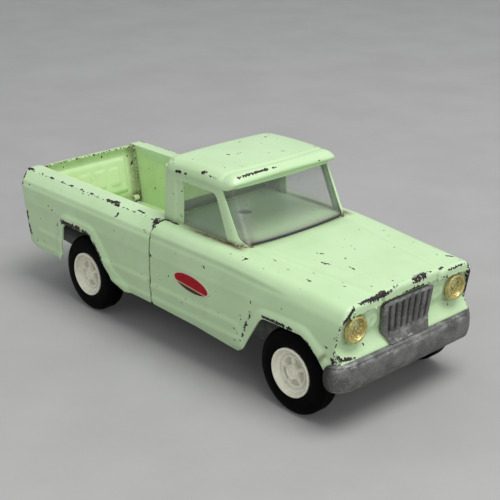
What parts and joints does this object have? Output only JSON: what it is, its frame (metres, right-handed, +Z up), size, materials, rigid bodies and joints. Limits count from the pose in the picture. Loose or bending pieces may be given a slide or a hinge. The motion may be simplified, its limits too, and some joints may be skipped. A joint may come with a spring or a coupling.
{
  "type": "toy pickup truck",
  "caption": "Push-along pressed-steel toy pickup truck with rolling wheels, open load bed, hinged tailgate, glazed cab and cast bumper and grille.",
  "frame": {"origin": "on the floor under the middle of the truck, at the centre of its bounding box", "axes": "+X forward, +Y to the truck's left, +Z up"},
  "size_m": [0.229, 0.089, 0.09],
  "materials": {
    "green_paint": "pale green enamel, chipped along edges",
    "bed_paint": "pale green enamel, lightly rusted in the corners",
    "clear_plastic": "smoky clear plastic moulding",
    "zinc_casting": "bare dull zinc die casting",
    "amber_plastic": "amber faceted lens",
    "emblem": "blank red oval sticker with a pale rim",
    "cream_plastic": "cream moulded plastic",
    "tyre": "black rubber",
    "bright_steel": "plain steel"
  },
  "bodies": {
    "truck": {"chassis_frame": "green_paint", "cab_body": "green_paint", "cab_roof": "green_paint", "cab_glazing": "clear_plastic", "front_panel": "green_paint", "radiator_grille": "zinc_casting", "front_bumper": "zinc_casting", "headlight_lens_left": "amber_plastic", "headlight_lens_right": "amber_plastic", "door_emblem_left": "emblem", "door_emblem_right": "emblem", "bed_side_left": "green_paint", "bed_side_right": "green_paint", "bed_liner": "bed_paint", "body_rivets": "bright_steel"},
    "tailgate": {"tailgate": "bed_paint", "tailgate_hinge_pins": "bright_steel"},
    "front_wheelset": {"front_axle": "bright_steel", "wheel_front_left": "cream_plastic", "tyre_front_left": "tyre", "wheel_front_right": "cream_plastic", "tyre_front_right": "tyre"},
    "rear_wheelset": {"rear_axle": "bright_steel", "wheel_rear_left": "cream_plastic", "tyre_rear_left": "tyre", "wheel_rear_right": "cream_plastic", "tyre_rear_right": "tyre"}
  },
  "joints": [
    {"name": "front_axle_spin", "type": "hinge", "parent": "truck", "child": "front_wheelset", "pos_m": [0.0848, 0, 0.0188], "axis": [0, 1, 0], "continuous": true},
    {"name": "rear_axle_spin", "type": "hinge", "parent": "truck", "child": "rear_wheelset", "pos_m": [-0.0572, 0, 0.0188], "axis": [0, 1, 0], "continuous": true},
    {"name": "tailgate_hinge", "type": "hinge", "parent": "truck", "child": "tailgate", "pos_m": [-0.1064, 0, 0.0302], "axis": [0, -1, 0], "range_deg": [0, 80.5]}
  ]
}
